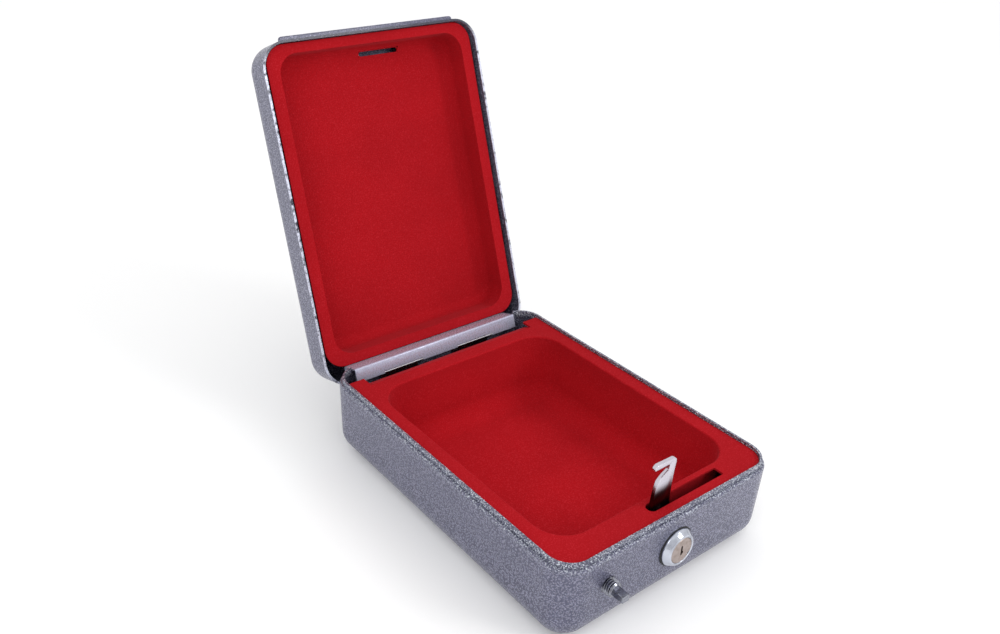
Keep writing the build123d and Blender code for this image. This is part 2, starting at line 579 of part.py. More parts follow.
# Plug with its keyway and pockets for five wafers, ending in a flatted drive.
with BuildPart() as lock_core:
    with BuildSketch(upright(BARREL_BACK_Y, 0, LOCK_Z)):
        Circle(CORE_D / 2)
    extrude(amount=BARREL_BACK_Y - BEZEL_FRONT_Y - CORE_SINK)
    chamfer(lock_core.edges().group_by(Axis.Y)[0], CORE_EDGE)
    with BuildSketch(upright(HOOK_BACK_Y - DRIVE_SINK, 0, LOCK_Z)):
        Circle(DRIVE_D / 2)
        Rectangle(DRIVE_FLAT, DRIVE_D + 1, mode=Mode.INTERSECT)
    extrude(amount=HOOK_BACK_Y - DRIVE_SINK - BARREL_BACK_Y)
    with BuildSketch(upright(BEZEL_FRONT_Y + KEY_SLOT_DEPTH, 0, LOCK_Z)):
        Rectangle(KEY_SLOT_W, KEY_SLOT_H)
        with Locations((KEY_STEP / 2, -KEY_SLOT_H / 4)):
            Rectangle(KEY_SLOT_W + KEY_STEP, KEY_SLOT_H / 4)
    extrude(amount=KEY_SLOT_DEPTH, mode=Mode.SUBTRACT)
    for k in range(WAFER_COUNT):
        with BuildSketch(upright(BEZEL_FRONT_Y + WAFER_FIRST + WAFER_PITCH * k, 0, LOCK_Z)):
            Rectangle(WAFER_W + WAFER_PLAY, WAFER_H + 3 * WAFER_PLAY)
        extrude(amount=WAFER_T + WAFER_PLAY, mode=Mode.SUBTRACT)
    with BuildSketch(upright(HOOK_BACK_Y, 0, LOCK_Z)):
        Circle(CAM_SCREW_D / 2 + DRIVE_FIT)
    extrude(amount=HOOK_T + STOP_T, mode=Mode.SUBTRACT)
    with BuildSketch(upright(BEZEL_FRONT_Y + CORE_MARK_R, 0, LOCK_Z)):
        with Locations((CORE_D / 2 * 0.80, -CORE_D / 2 * 0.60)):
            Circle(CORE_MARK_R)
    extrude(amount=2 * CORE_MARK_R, mode=Mode.SUBTRACT)

with BuildPart() as lock_wafers:
    for k in range(WAFER_COUNT):
        with BuildSketch(
            upright(BEZEL_FRONT_Y + WAFER_FIRST - WAFER_PLAY / 2 + WAFER_PITCH * k, 0, LOCK_Z)
        ):
            Rectangle(WAFER_W, WAFER_H)
            with Locations((0, WAFER_PLAY * (2 * (k % 3) - 4))):
                Rectangle(2.2 * KEY_SLOT_W, KEY_SLOT_H + 0.4, mode=Mode.SUBTRACT)
        extrude(amount=WAFER_T)

# Washer with a wedge-cut face that takes up the draft of the wall, and the hexagon nut.
with BuildPart() as lock_washer:
    with BuildSketch(upright(FRONT_Y + WASHER_DEPTH, 0, LOCK_Z)):
        Circle(BARREL_D / 2 + WASHER_MARGIN)
        Circle(BARREL_D / 2 + BARREL_PLAY, mode=Mode.SUBTRACT)
    extrude(amount=WASHER_DEPTH)
    add(case_hollow.part, mode=Mode.INTERSECT)

with BuildPart() as lock_nut:
    with BuildSketch(upright(FRONT_Y + WASHER_DEPTH + NUT_T, 0, LOCK_Z)):
        RegularPolygon(NUT_AF / 2, 6, major_radius=False)
        Circle(BARREL_D / 2 + THREAD_PLAY, mode=Mode.SUBTRACT)
    extrude(amount=NUT_T)

# Stop washer keyed to the plug; its tab meets the lug on the barrel at both ends of the turn.
with BuildPart() as stop_washer:
    with BuildSketch(upright(HOOK_FRONT_Y, 0, LOCK_Z)):
        Circle(CORE_D / 2 - STOP_RIM)
        with BuildLine():
            tab_side = Line((0, 0), (STOP_SIDE, BARREL_D / 2 - STOP_SETBACK))
            tab_rim = RadiusArc(
                tab_side @ 1,
                (BARREL_D / 2 - STOP_SETBACK, STOP_SIDE),
                BARREL_D / 2 - STOP_SETBACK,
            )
            Line(tab_rim @ 1, (0, 0))
        make_face()
        Circle(DRIVE_D / 2 + DRIVE_FIT, mode=Mode.SUBTRACT)
    extrude(amount=STOP_T)

# Hook plate, upright when locked, with its nose to the left over the strike plate.
with BuildPart() as cam_hook:
    with BuildSketch(upright(HOOK_BACK_Y)):
        with BuildLine():
            Polyline(
                (HOOK_NOSE_X, HOOK_THROAT_Z + HOOK_NOSE_H),
                (HOOK_NOSE_X + HOOK_NOSE_LEAN, HOOK_THROAT_Z),
                (HOOK_THROAT_X, HOOK_THROAT_Z),
                (HOOK_THROAT_X - HOOK_THROAT_LEAN, HOOK_RAMP_Z),
                (HOOK_NOSE_X + HOOK_CHIN_X, HOOK_RAMP_Z - HOOK_CHIN_DROP),
                (HOOK_NOSE_X + HOOK_CHEEK_X, HOOK_RAMP_Z - HOOK_CHEEK_DROP),
                (HOOK_WAIST_X + HOOK_WAIST_STEP, HOOK_RAMP_Z - HOOK_WAIST_DROP),
                (HOOK_WAIST_X, TRAY_TOP_Z + HOOK_WAIST_RISE),
                (-HOOK_BOSS_R, LOCK_Z),
                (HOOK_BOSS_R, LOCK_Z),
                (HOOK_BOW_X, TRAY_TOP_Z + HOOK_BOW_RISE),
                (HOOK_BOW_X, HOOK_RAMP_Z - HOOK_BOW_DROP),
                (HOOK_BACK_X - HOOK_BACK_LEAN, HOOK_RAMP_Z - HOOK_BACK_DROP),
                (HOOK_BACK_X, HOOK_THROAT_Z + HOOK_NOSE_H - HOOK_CROWN_FALL),
                close=True,
            )
        make_face()
        with Locations((0, LOCK_Z)):
            Circle(HOOK_BOSS_R)
    extrude(amount=HOOK_T)
    nose = cam_hook.edges().filter_by(Axis.Y).sort_by(Axis.Z)[-2:]
    fillet(nose, HOOK_NOSE_R)
    throat = cam_hook.edges().filter_by(Axis.Y)
    throat = throat.filter_by_position(Axis.Z, HOOK_THROAT_Z - 0.3, HOOK_THROAT_Z + 0.3)
    fillet(throat, HOOK_THROAT_R)
    with BuildSketch(upright(HOOK_BACK_Y, 0, LOCK_Z)):
        Circle(DRIVE_D / 2 + DRIVE_FIT)
        Rectangle(DRIVE_FLAT + 2 * DRIVE_FIT, DRIVE_D + 2, mode=Mode.INTERSECT)
    extrude(amount=HOOK_T, mode=Mode.SUBTRACT)

with BuildPart() as cam_washer:
    with BuildSketch(upright(HOOK_BACK_Y + CAM_WASHER_T, 0, LOCK_Z)):
        Circle(CAM_WASHER_D / 2)
        Circle(CAM_SCREW_D / 2 + DRIVE_FIT, mode=Mode.SUBTRACT)
    extrude(amount=CAM_WASHER_T)

with BuildPart() as cam_screw:
    with BuildSketch(upright(HOOK_BACK_Y + CAM_WASHER_T + CAM_SCREW_HEAD_T, 0, LOCK_Z)):
        Circle(CAM_SCREW_HEAD_D / 2)
    extrude(amount=CAM_SCREW_HEAD_T)
    fillet(cam_screw.edges().group_by(Axis.Y)[-1], CAM_SCREW_HEAD_T * 0.45)
    with BuildSketch(upright(HOOK_BACK_Y + CAM_WASHER_T, 0, LOCK_Z)):
        Circle(CAM_SCREW_D / 2)
    extrude(amount=CAM_WASHER_T + HOOK_T + STOP_T - CAM_SCREW_END)
    with BuildSketch(upright(HOOK_BACK_Y + CAM_WASHER_T + CAM_SCREW_HEAD_T, 0, LOCK_Z)):
        Rectangle(CAM_SLOT_W, CAM_SLOT_L)
        Rectangle(CAM_SLOT_L, CAM_SLOT_W)
    extrude(amount=CAM_SCREW_HEAD_T * 0.6, mode=Mode.SUBTRACT)

# Anchor stud through the front wall: ringed shank and square tip.
with BuildPart() as anchor_stud:
    with BuildSketch(upright(FRONT_Y + STUD_INNER, STUD_X, STUD_Z)):
        Circle(STUD_D / 2)
    extrude(amount=STUD_INNER + STUD_SHANK)
    chamfer(anchor_stud.edges().group_by(Axis.Y)[0], STUD_GROOVE)
    for k in range(STUD_RINGS):
        with BuildSketch(stud_side):
            with BuildLine():
                Polyline(
                    (FRONT_Y - STUD_SHANK + (k + 0.7) * STUD_PITCH, STUD_D / 2 + 0.1),
                    (FRONT_Y - STUD_SHANK + (k + 1.1) * STUD_PITCH, STUD_D / 2 - STUD_GROOVE),
                    (FRONT_Y - STUD_SHANK + (k + 1.5) * STUD_PITCH, STUD_D / 2 + 0.1),
                    close=True,
                )
            make_face()
        revolve(axis=STUD_LINE, mode=Mode.SUBTRACT)
    with BuildSketch(upright(FRONT_Y - STUD_SHANK, STUD_X, STUD_Z)):
        Rectangle(STUD_TIP_W, STUD_TIP_H)
    extrude(amount=STUD_REACH - STUD_SHANK)
    chamfer(anchor_stud.faces().sort_by(Axis.Y)[0].edges(), STUD_GROOVE)

with BuildPart() as stud_washer:
    with BuildSketch(upright(FRONT_Y + WASHER_DEPTH, STUD_X, STUD_Z)):
        Circle(STUD_WASHER_D / 2)
        Circle(STUD_D / 2 + STUD_PLAY, mode=Mode.SUBTRACT)
    extrude(amount=WASHER_DEPTH)
    add(case_hollow.part, mode=Mode.INTERSECT)

with BuildPart() as stud_nut:
    with BuildSketch(upright(FRONT_Y + WASHER_DEPTH + STUD_NUT_T, STUD_X, STUD_Z)):
        RegularPolygon(STUD_NUT_AF / 2, 6, major_radius=False)
        Circle(STUD_D / 2 + THREAD_PLAY, mode=Mode.SUBTRACT)
    extrude(amount=STUD_NUT_T)

base_shell.part.label = "base_shell"
export_step(base_shell.part, "parts/base_shell.step")
base_liner.part.label = "base_liner"
export_step(base_liner.part, "parts/base_liner.step")
base_liner_flange.part.label = "base_liner_flange"
export_step(base_liner_flange.part, "parts/base_liner_flange.step")
base_hinge_straps.part.label = "base_hinge_straps"
export_step(base_hinge_straps.part, "parts/base_hinge_straps.step")
hinge_pin.part.label = "hinge_pin"
export_step(hinge_pin.part, "parts/hinge_pin.step")
lid_shell.part.label = "lid_shell"
export_step(lid_shell.part, "parts/lid_shell.step")
hinge_channel.part.label = "hinge_channel"
export_step(hinge_channel.part, "parts/hinge_channel.step")
lid_hinge_leaf.part.label = "lid_hinge_leaf"
export_step(lid_hinge_leaf.part, "parts/lid_hinge_leaf.step")
lid_liner.part.label = "lid_liner"
export_step(lid_liner.part, "parts/lid_liner.step")
strike_plate.part.label = "strike_plate"
export_step(strike_plate.part, "parts/strike_plate.step")
lock_housing.part.label = "lock_housing"
export_step(lock_housing.part, "parts/lock_housing.step")
lock_gasket.part.label = "lock_gasket"
export_step(lock_gasket.part, "parts/lock_gasket.step")
lock_core.part.label = "lock_core"
export_step(lock_core.part, "parts/lock_core.step")
lock_wafers.part.label = "lock_wafers"
export_step(lock_wafers.part, "parts/lock_wafers.step")
lock_washer.part.label = "lock_washer"
export_step(lock_washer.part, "parts/lock_washer.step")
lock_nut.part.label = "lock_nut"
export_step(lock_nut.part, "parts/lock_nut.step")
stop_washer.part.label = "stop_washer"
export_step(stop_washer.part, "parts/stop_washer.step")
cam_hook.part.label = "cam_hook"
export_step(cam_hook.part, "parts/cam_hook.step")
cam_washer.part.label = "cam_washer"
export_step(cam_washer.part, "parts/cam_washer.step")
cam_screw.part.label = "cam_screw"
export_step(cam_screw.part, "parts/cam_screw.step")
anchor_stud.part.label = "anchor_stud"
export_step(anchor_stud.part, "parts/anchor_stud.step")
stud_washer.part.label = "stud_washer"
export_step(stud_washer.part, "parts/stud_washer.step")
stud_nut.part.label = "stud_nut"
export_step(stud_nut.part, "parts/stud_nut.step")
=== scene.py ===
import math

import bmesh
import bpy
from mathutils import Matrix, Vector


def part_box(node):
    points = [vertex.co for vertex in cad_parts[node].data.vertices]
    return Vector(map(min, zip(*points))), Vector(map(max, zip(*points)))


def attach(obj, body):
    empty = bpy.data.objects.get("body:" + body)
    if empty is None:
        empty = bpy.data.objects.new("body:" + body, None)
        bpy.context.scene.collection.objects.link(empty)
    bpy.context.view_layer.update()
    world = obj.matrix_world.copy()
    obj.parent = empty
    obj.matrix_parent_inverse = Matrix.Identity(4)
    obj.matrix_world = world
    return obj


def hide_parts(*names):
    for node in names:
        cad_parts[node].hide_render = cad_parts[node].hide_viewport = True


bl_info = {
    "name": "Car safe dressing",
    "version": (1, 0, 0),
    "blender": (4, 5, 0),
    "location": "View3D > Sidebar > Car Safe",
    "description": "Paints, flocks and plates the parts of a small steel car safe and sets up its studio",
    "category": "Object",
}

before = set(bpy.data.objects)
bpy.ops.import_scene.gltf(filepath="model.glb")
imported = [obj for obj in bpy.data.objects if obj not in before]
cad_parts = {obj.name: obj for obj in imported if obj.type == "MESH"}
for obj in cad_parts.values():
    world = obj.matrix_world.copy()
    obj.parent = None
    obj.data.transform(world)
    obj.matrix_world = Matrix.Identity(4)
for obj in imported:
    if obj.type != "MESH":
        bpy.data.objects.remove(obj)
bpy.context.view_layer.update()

# Places in the CAD that the looks follow, with the lid drawn shut; lengths in metres
PIN_Y = 0.099
PIN_Z = 0.0415
OPEN_ANGLE = math.radians(109.6)
LID_RIM_LEVEL = 0.0473
CASE_LIP_LEVEL = 0.0484
# Height of the painted highlight along the strap knuckles
KNUCKLE_HIGHLIGHT_LEVEL = 0.0427
# Height round which the hook is painted dark, a painted reflection of the dark slot
HOOK_DARK_REFLECTION_LEVEL = 0.0455
PULL_LIP_Y = -0.098
TRAY_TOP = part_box("base_liner_flange")[1][2]
STRAP_HALF = 0.0138

# Measures of the finishes; lengths in metres, the last two as shares
PULL_LIP_FADE = 0.008
TRAY_FILL_LIGHT_DEPTH = 0.018
CELL_DRIFT = 0.0008
# How softly the bands of painted light and shade break up
PAINTED_BAND_SOFTNESS = 0.14
SOILED_SHARE = 0.75

# Measures of the pieces made here; lengths in metres, angles in radians
MERGE = 1e-6
CAD_MERGE = 2e-6
FLAT_ANGLE = math.radians(0.5)
CORNER_ANGLE = math.radians(60)
RIM_EASE_SHARE = 0.14
RIM_SEGMENTS = 40
APRON_SIZE = (0.1256, 0.0100, 0.0060)
APRON_FRONT_Y = 0.0794
APRON_SINK = 0.00015
APRON_ROLL = 0.0022
APRON_SLOPE = math.radians(-24)
SLIT_SIZE = (0.0290, 0.0004, 0.0011)
SLIT_SHIFT = 0.0004
SLIT_Y = 0.09996
SLIT_Z = 0.03841
STUD_REACH = 0.0112
STUD_SINK = 0.0002
STUD_TIP_SIZE = (0.0043, 0.0038, 0.0066)
STUD_TIP_MIDDLE = 0.0077
BAR_SEGMENTS = 48
THREAD_STEPS = 40
THREAD_CREST_SHARE = 0.42
THREAD_FOOT_SHARE = 0.84

# Measures of the stage, in metres, and the camera's frame
FLOOR_HALF = 6.0
LAMP_AIM = Vector((0, 0, 0.05))
SIDE_LAMP_SHARE = 0.45
CAMERA_PLACE = (-0.32245, -0.3326, 0.3626)
CAMERA_RIGHT = Vector((0.79503824, -0.60559943, 0.0341106))
CAMERA_UP = Vector((0.24313631, 0.36970341, 0.89677429))
CAMERA_SHIFT = (0.03753, -0.04582)


# Settings


class SafePaintSettings(bpy.types.PropertyGroup):
    """Colours and grain of the painted steel."""

    case_colour: bpy.props.FloatVectorProperty(
        name="Case colour",
        description="Base colour of the hammered grey paint",
        subtype="COLOR",
        size=4,
        min=0.0,
        max=1.0,
        default=(0.335, 0.333, 0.45, 1.0),
    )
    valley_colour: bpy.props.FloatVectorProperty(
        name="Valley colour",
        description="Darker colour between the hammered cells",
        subtype="COLOR",
        size=4,
        min=0.0,
        max=1.0,
        default=(0.098, 0.10, 0.158, 1.0),
    )
    cell_size: bpy.props.FloatProperty(
        name="Cell size",
        description="Width of one cell of the hammered finish",
        subtype="DISTANCE",
        unit="LENGTH",
        min=0.0005,
        max=0.01,
        default=0.0009,
    )


class SafeFlockSettings(bpy.types.PropertyGroup):
    """Colours and pile of the flocked trays."""

    pile_colour: bpy.props.FloatVectorProperty(
        name="Pile colour",
        description="Colour of the red flock",
        subtype="COLOR",
        size=4,
        min=0.0,
        max=1.0,
        default=(0.375, 0.0065, 0.011, 1.0),
    )
    lint_colour: bpy.props.FloatVectorProperty(
        name="Lint colour",
        description="Colour of the lighter fibres",
        subtype="COLOR",
        size=4,
        min=0.0,
        max=1.0,
        default=(0.50, 0.02, 0.03, 1.0),
    )


class SafeStageSettings(bpy.types.PropertyGroup):
    """Floor, lamps and lens of the studio."""

    floor_colour: bpy.props.FloatVectorProperty(
        name="Floor colour",
        description="Colour of the pale floor",
        subtype="COLOR",
        size=4,
        min=0.0,
        max=1.0,
        default=(0.99, 0.99, 0.99, 1.0),
    )
    key_power: bpy.props.FloatProperty(
        name="Key lamp",
        description="Power of the large soft lamp in watts",
        min=0.0,
        max=100.0,
        default=4.1,
    )
    lens: bpy.props.FloatProperty(
        name="Lens",
        description="Focal length of the camera in millimetres",
        min=10.0,
        max=200.0,
        default=35.448,
    )


# Shading helpers


def new_material(name):
    """An empty node material with its output and shader."""
    mat = bpy.data.materials.new(name)
    mat.use_nodes = True
    nodes = mat.node_tree.nodes
    nodes.clear()
    out = nodes.new("ShaderNodeOutputMaterial")
    out.location = (600, 0)
    shader = nodes.new("ShaderNodeBsdfPrincipled")
    shader.location = (300, 0)
    mat.node_tree.links.new(shader.outputs["BSDF"], out.inputs["Surface"])
    return mat, nodes, mat.node_tree.links, shader


def new_group(name, inputs, outputs):
    """A shader node group with named sockets."""
    tree = bpy.data.node_groups.new(name, "ShaderNodeTree")
    for label, kind, value in inputs:
        socket = tree.interface.new_socket(label, in_out="INPUT", socket_type=kind)
        if value is not None:
            socket.default_value = value
    for label, kind in outputs:
        tree.interface.new_socket(label, in_out="OUTPUT", socket_type=kind)
    enter = tree.nodes.new("NodeGroupInput")
    leave = tree.nodes.new("NodeGroupOutput")
    return tree, enter, leave


def place_group(nodes, name, builder, **values):
    """A node of the named group, built when first asked for, with its own input values."""
    node = nodes.new("ShaderNodeGroup")
    node.node_tree = bpy.data.node_groups.get(name) or builder()
    for label, value in values.items():
        node.inputs[label].default_value = value
    return node


def feed(links, socket, source):
    """Links a socket to another one, or gives it a plain value."""
    if isinstance(source, bpy.types.NodeSocket):
        links.new(source, socket)
    else:
        socket.default_value = source


def noise(nodes, links, vector, scale, detail):
    """A noise texture on the given coordinates."""
    node = nodes.new("ShaderNodeTexNoise")
    node.inputs["Detail"].default_value = detail
    links.new(vector, node.inputs["Vector"])
    feed(links, node.inputs["Scale"], scale)
    return node


def ranged(nodes, links, value, start=0.0, end=1.0, first=0.0, last=1.0, smooth=False):
    """Carries a value that runs from start to end over into one from first to last."""
    node = nodes.new("ShaderNodeMapRange")
    node.interpolation_type = "SMOOTHSTEP" if smooth else "LINEAR"
    feed(links, node.inputs["From Min"], start)
    feed(links, node.inputs["From Max"], end)
    node.inputs["To Min"].default_value = first
    node.inputs["To Max"].default_value = last
    links.new(value, node.inputs["Value"])
    return node.outputs["Result"]


def reckoned(nodes, links, operation, first, second=None):
    """One operation on one or two numbers."""
    node = nodes.new("ShaderNodeMath")
    node.operation = operation
    feed(links, node.inputs[0], first)
    if second is not None:
        feed(links, node.inputs[1], second)
    return node.outputs[0]


def mixed(nodes, links, factor, first, second, kind="RGBA"):
    """One colour or number carried over into another by a factor."""
    node = nodes.new("ShaderNodeMix")
    node.data_type = kind
    feed(links, node.inputs["Factor"], factor)
    feed(links, node.inputs["A"], first)
    feed(links, node.inputs["B"], second)
    return node.outputs["Result"]


def dimmed(nodes, links, colour, factor):
    """A colour times a number."""
    node = nodes.new("ShaderNodeVectorMath")
    node.operation = "SCALE"
    links.new(colour, node.inputs[0])
    links.new(factor, node.inputs["Scale"])
    return node.outputs[0]


def bump(nodes, links, height, shader, strength, distance):
    """Feeds a height into the shader's normal."""
    node = nodes.new("ShaderNodeBump")
    node.inputs["Strength"].default_value = strength
    node.inputs["Distance"].default_value = distance
    links.new(height, node.inputs["Height"])
    links.new(node.outputs["Normal"], shader.inputs["Normal"])


def soiling_group():
    """Fine uneven soiling: mixes two colours and varies the roughness."""
    tree, enter, leave = new_group(
        "fine_soiling",
        [
            ("Clean", "NodeSocketColor", (0.5, 0.5, 0.5, 1)),
            ("Soiled", "NodeSocketColor", (0.2, 0.2, 0.2, 1)),
            ("Scale", "NodeSocketFloat", 300.0),
            ("Amount", "NodeSocketFloat", 0.3),
            ("Smooth", "NodeSocketFloat", 0.25),
            ("Rough", "NodeSocketFloat", 0.5),
        ],
        [
            ("Color", "NodeSocketColor"),
            ("Roughness", "NodeSocketFloat"),
            ("Mask", "NodeSocketFloat"),
        ],
    )
    nodes, links = tree.nodes, tree.links
    given = enter.outputs
    coord = nodes.new("ShaderNodeTexCoord")
    grain = noise(nodes, links, coord.outputs["Object"], given["Scale"], detail=5.0)
    spots = ranged(nodes, links, grain.outputs["Fac"], start=0.42, end=0.72)
    mask = reckoned(nodes, links, "MULTIPLY", spots, given["Amount"])
    colour = mixed(nodes, links, mask, given["Clean"], given["Soiled"])
    roughness = mixed(nodes, links, spots, given["Smooth"], given["Rough"], kind="FLOAT")
    links.new(colour, leave.inputs["Color"])
    links.new(roughness, leave.inputs["Roughness"])
    links.new(mask, leave.inputs["Mask"])
    return tree


def hammer_group():
    """Hammered paint: raised cells with darker valleys between them."""
    tree, enter, leave = new_group(
        "hammered_cells",
        [
            ("Cell", "NodeSocketColor", (0.2, 0.2, 0.25, 1)),
            ("Valley", "NodeSocketColor", (0.1, 0.1, 0.13, 1)),
            ("Density", "NodeSocketFloat", 430.0),
        ],
        [
            ("Color", "NodeSocketColor"),
            ("Height", "NodeSocketFloat"),
            ("Roughness", "NodeSocketFloat"),
        ],
    )
    nodes, links = tree.nodes, tree.links
    given = enter.outputs
    coord = nodes.new("ShaderNodeTexCoord")
    drift = noise(nodes, links, coord.outputs["Object"], scale=420.0, detail=2.0)
    shift = nodes.new("ShaderNodeVectorMath")
    shift.operation = "MULTIPLY_ADD"
    shift.inputs[1].default_value = (CELL_DRIFT, CELL_DRIFT, CELL_DRIFT)
    links.new(drift.outputs["Color"], shift.inputs[0])
    links.new(coord.outputs["Object"], shift.inputs[2])
    cells = nodes.new("ShaderNodeTexVoronoi")
    cells.feature = "SMOOTH_F1"
    cells.inputs["Smoothness"].default_value = 0.35
    links.new(shift.outputs[0], cells.inputs["Vector"])
    links.new(given["Density"], cells.inputs["Scale"])
    distance = cells.outputs["Distance"]
    dome = ranged(nodes, links, distance, start=0.15, end=0.58, first=1.0, last=0.0, smooth=True)
    colour = mixed(nodes, links, dome, given["Valley"], given["Cell"])
    split = nodes.new("ShaderNodeSeparateColor")
    links.new(cells.outputs["Color"], split.inputs["Color"])
    tone = ranged(nodes, links, split.outputs["Red"], first=0.84, last=1.16)
    roughness = ranged(nodes, links, dome, first=0.45, last=0.24)
    links.new(dimmed(nodes, links, colour, tone), leave.inputs["Color"])
    links.new(dome, leave.inputs["Height"])
    links.new(roughness, leave.inputs["Roughness"])
    return tree


def painted_band_group():
    """A band round one height, whole and broken up along its length, for painted highlights and painted
    shade.
    """
    tree, enter, leave = new_group(
        "painted_light_band",
        [
            ("Vector", "NodeSocketVector", None),
            ("Level", "NodeSocketFloat", 0.05),
            ("Reach", "NodeSocketFloat", 0.0008),
            ("Grain", "NodeSocketFloat", 620.0),
            ("Sparse", "NodeSocketFloat", 0.36),
        ],
        [("Mask", "NodeSocketFloat"), ("Band", "NodeSocketFloat")],
    )
    nodes, links = tree.nodes, tree.links
    given = enter.outputs
    split = nodes.new("ShaderNodeSeparateXYZ")
    links.new(given["Vector"], split.inputs["Vector"])
    above = reckoned(nodes, links, "SUBTRACT", split.outputs["Z"], given["Level"])
    away = reckoned(nodes, links, "ABSOLUTE", above)
    band = ranged(nodes, links, away, end=given["Reach"], first=1.0, last=0.0)
    grain = noise(nodes, links, given["Vector"], given["Grain"], detail=3.0)
    limit = reckoned(nodes, links, "ADD", given["Sparse"], PAINTED_BAND_SOFTNESS)
    broken = ranged(nodes, links, grain.outputs["Fac"], start=given["Sparse"], end=limit)
    links.new(reckoned(nodes, links, "MULTIPLY", band, broken), leave.inputs["Mask"])
    links.new(band, leave.inputs["Band"])
    return tree


# Finishes


def hammered_paint(name, level, reach, grain, sparse, shaded, glint_colour, turned=False):
    """Grey-violet hammered enamel with painted glints and a painted shade band along the rim; turned is
    for the open lid.
    """
    paint = bpy.context.scene.safe_paint
    mat, nodes, links, shader = new_material(name)
    coord = nodes.new("ShaderNodeTexCoord")
    place = nodes.new("ShaderNodeMapping")
    if turned:
        y = PIN_Y - math.cos(OPEN_ANGLE) * PIN_Y + math.sin(OPEN_ANGLE) * PIN_Z
        z = PIN_Z - math.sin(OPEN_ANGLE) * PIN_Y - math.cos(OPEN_ANGLE) * PIN_Z
        place.inputs["Rotation"].default_value = (OPEN_ANGLE, 0, 0)
        place.inputs["Location"].default_value = (0, y, z)
    links.new(coord.outputs["Object"], place.inputs["Vector"])
    cells = place_group(
        nodes,
        "hammered_cells",
        hammer_group,
        Cell=tuple(paint.case_colour),
        Valley=tuple(paint.valley_colour),
        Density=1.0 / paint.cell_size,
    )
    painted_light = place_group(
        nodes,
        "painted_light_band",
        painted_band_group,
        Level=level,
        Reach=reach,
        Grain=grain,
        Sparse=sparse,
    )
    links.new(place.outputs["Vector"], painted_light.inputs["Vector"])
    # Painted shade: the band round the rim is darkened by the shaded share
    shade = ranged(nodes, links, painted_light.outputs["Band"], first=1.0, last=shaded)
    darker = dimmed(nodes, links, cells.outputs["Color"], shade)
    # Painted highlight: bright glints along the rim, left off the lid's pull lip
    painted_glint = painted_light.outputs["Mask"]
    if turned:
        split = nodes.new("ShaderNodeSeparateXYZ")
        links.new(place.outputs["Vector"], split.inputs["Vector"])
        clear_of_lip = PULL_LIP_Y + PULL_LIP_FADE
        behind = ranged(nodes, links, split.outputs["Y"], start=PULL_LIP_Y, end=clear_of_lip)
        painted_glint = reckoned(nodes, links, "MULTIPLY", painted_glint, behind)
    links.new(mixed(nodes, links, painted_glint, darker, glint_colour), shader.inputs["Base Color"])
    links.new(cells.outputs["Roughness"], shader.inputs["Roughness"])
    shader.inputs["Metallic"].default_value = 0.6
    shader.inputs["Coat Weight"].default_value = 0.35
    shader.inputs["Coat Roughness"].default_value = 0.12
    bump(nodes, links, cells.outputs["Height"], shader, strength=1.0, distance=0.00032)
    return mat


def red_flock():
    """Short red pile with lighter fibres and slight brushing, painted lighter down in the case against
    its shade.
    """
    flock = bpy.context.scene.safe_flock
    mat, nodes, links, shader = new_material("red_flock")
    coord = nodes.new("ShaderNodeTexCoord")
    place = coord.outputs["Object"]
    fibre = noise(nodes, links, place, scale=1500.0, detail=4.0)
    patch = noise(nodes, links, place, scale=22.0, detail=3.0)
    lint = ranged(nodes, links, fibre.outputs["Fac"], start=0.50, end=0.78)
    pile = mixed(nodes, links, lint, tuple(flock.pile_colour), tuple(flock.lint_colour))
    brushed = ranged(nodes, links, patch.outputs["Fac"], start=0.3, end=0.7, first=0.92, last=1.05)
    split = nodes.new("ShaderNodeSeparateXYZ")
    links.new(place, split.inputs["Vector"])
    # Painted light: the flock lower in the case is lightened, the flange darkened a little
    deep = TRAY_TOP - TRAY_FILL_LIGHT_DEPTH
    painted_fill_light = ranged(nodes, links, split.outputs["Z"], start=deep, end=TRAY_TOP, first=1.10, last=0.95)
    colour = dimmed(nodes, links, dimmed(nodes, links, pile, brushed), painted_fill_light)
    links.new(colour, shader.inputs["Base Color"])
    shader.inputs["Roughness"].default_value = 0.95
    shader.inputs["Specular IOR Level"].default_value = 0.05
    shader.inputs["Sheen Weight"].default_value = 0.12
    shader.inputs["Sheen Roughness"].default_value = 0.4
    shader.inputs["Sheen Tint"].default_value = (1.0, 0.2, 0.25, 1)
    bump(nodes, links, fibre.outputs["Fac"], shader, strength=0.5, distance=0.00025)
    return mat


def soiled_finish(
    name,
    clean,
    soiled,
    smooth,
    rough,
    scale,
    amount,
    metallic=1.0,
    strength=0.12,
    distance=0.00008,
):
    """A metal, a smooth paint or a rubber with fine soiling."""
    mat, nodes, links, shader = new_material(name)
    soil = place_group(
        nodes,
        "fine_soiling",
        soiling_group,
        Clean=clean,
        Soiled=soiled,
        Scale=scale,
        Amount=amount,
        Smooth=smooth,
        Rough=rough,
    )
    links.new(soil.outputs["Color"], shader.inputs["Base Color"])
    links.new(soil.outputs["Roughness"], shader.inputs["Roughness"])
    shader.inputs["Metallic"].default_value = metallic
    bump(nodes, links, soil.outputs["Mask"], shader, strength=strength, distance=distance)
    return mat


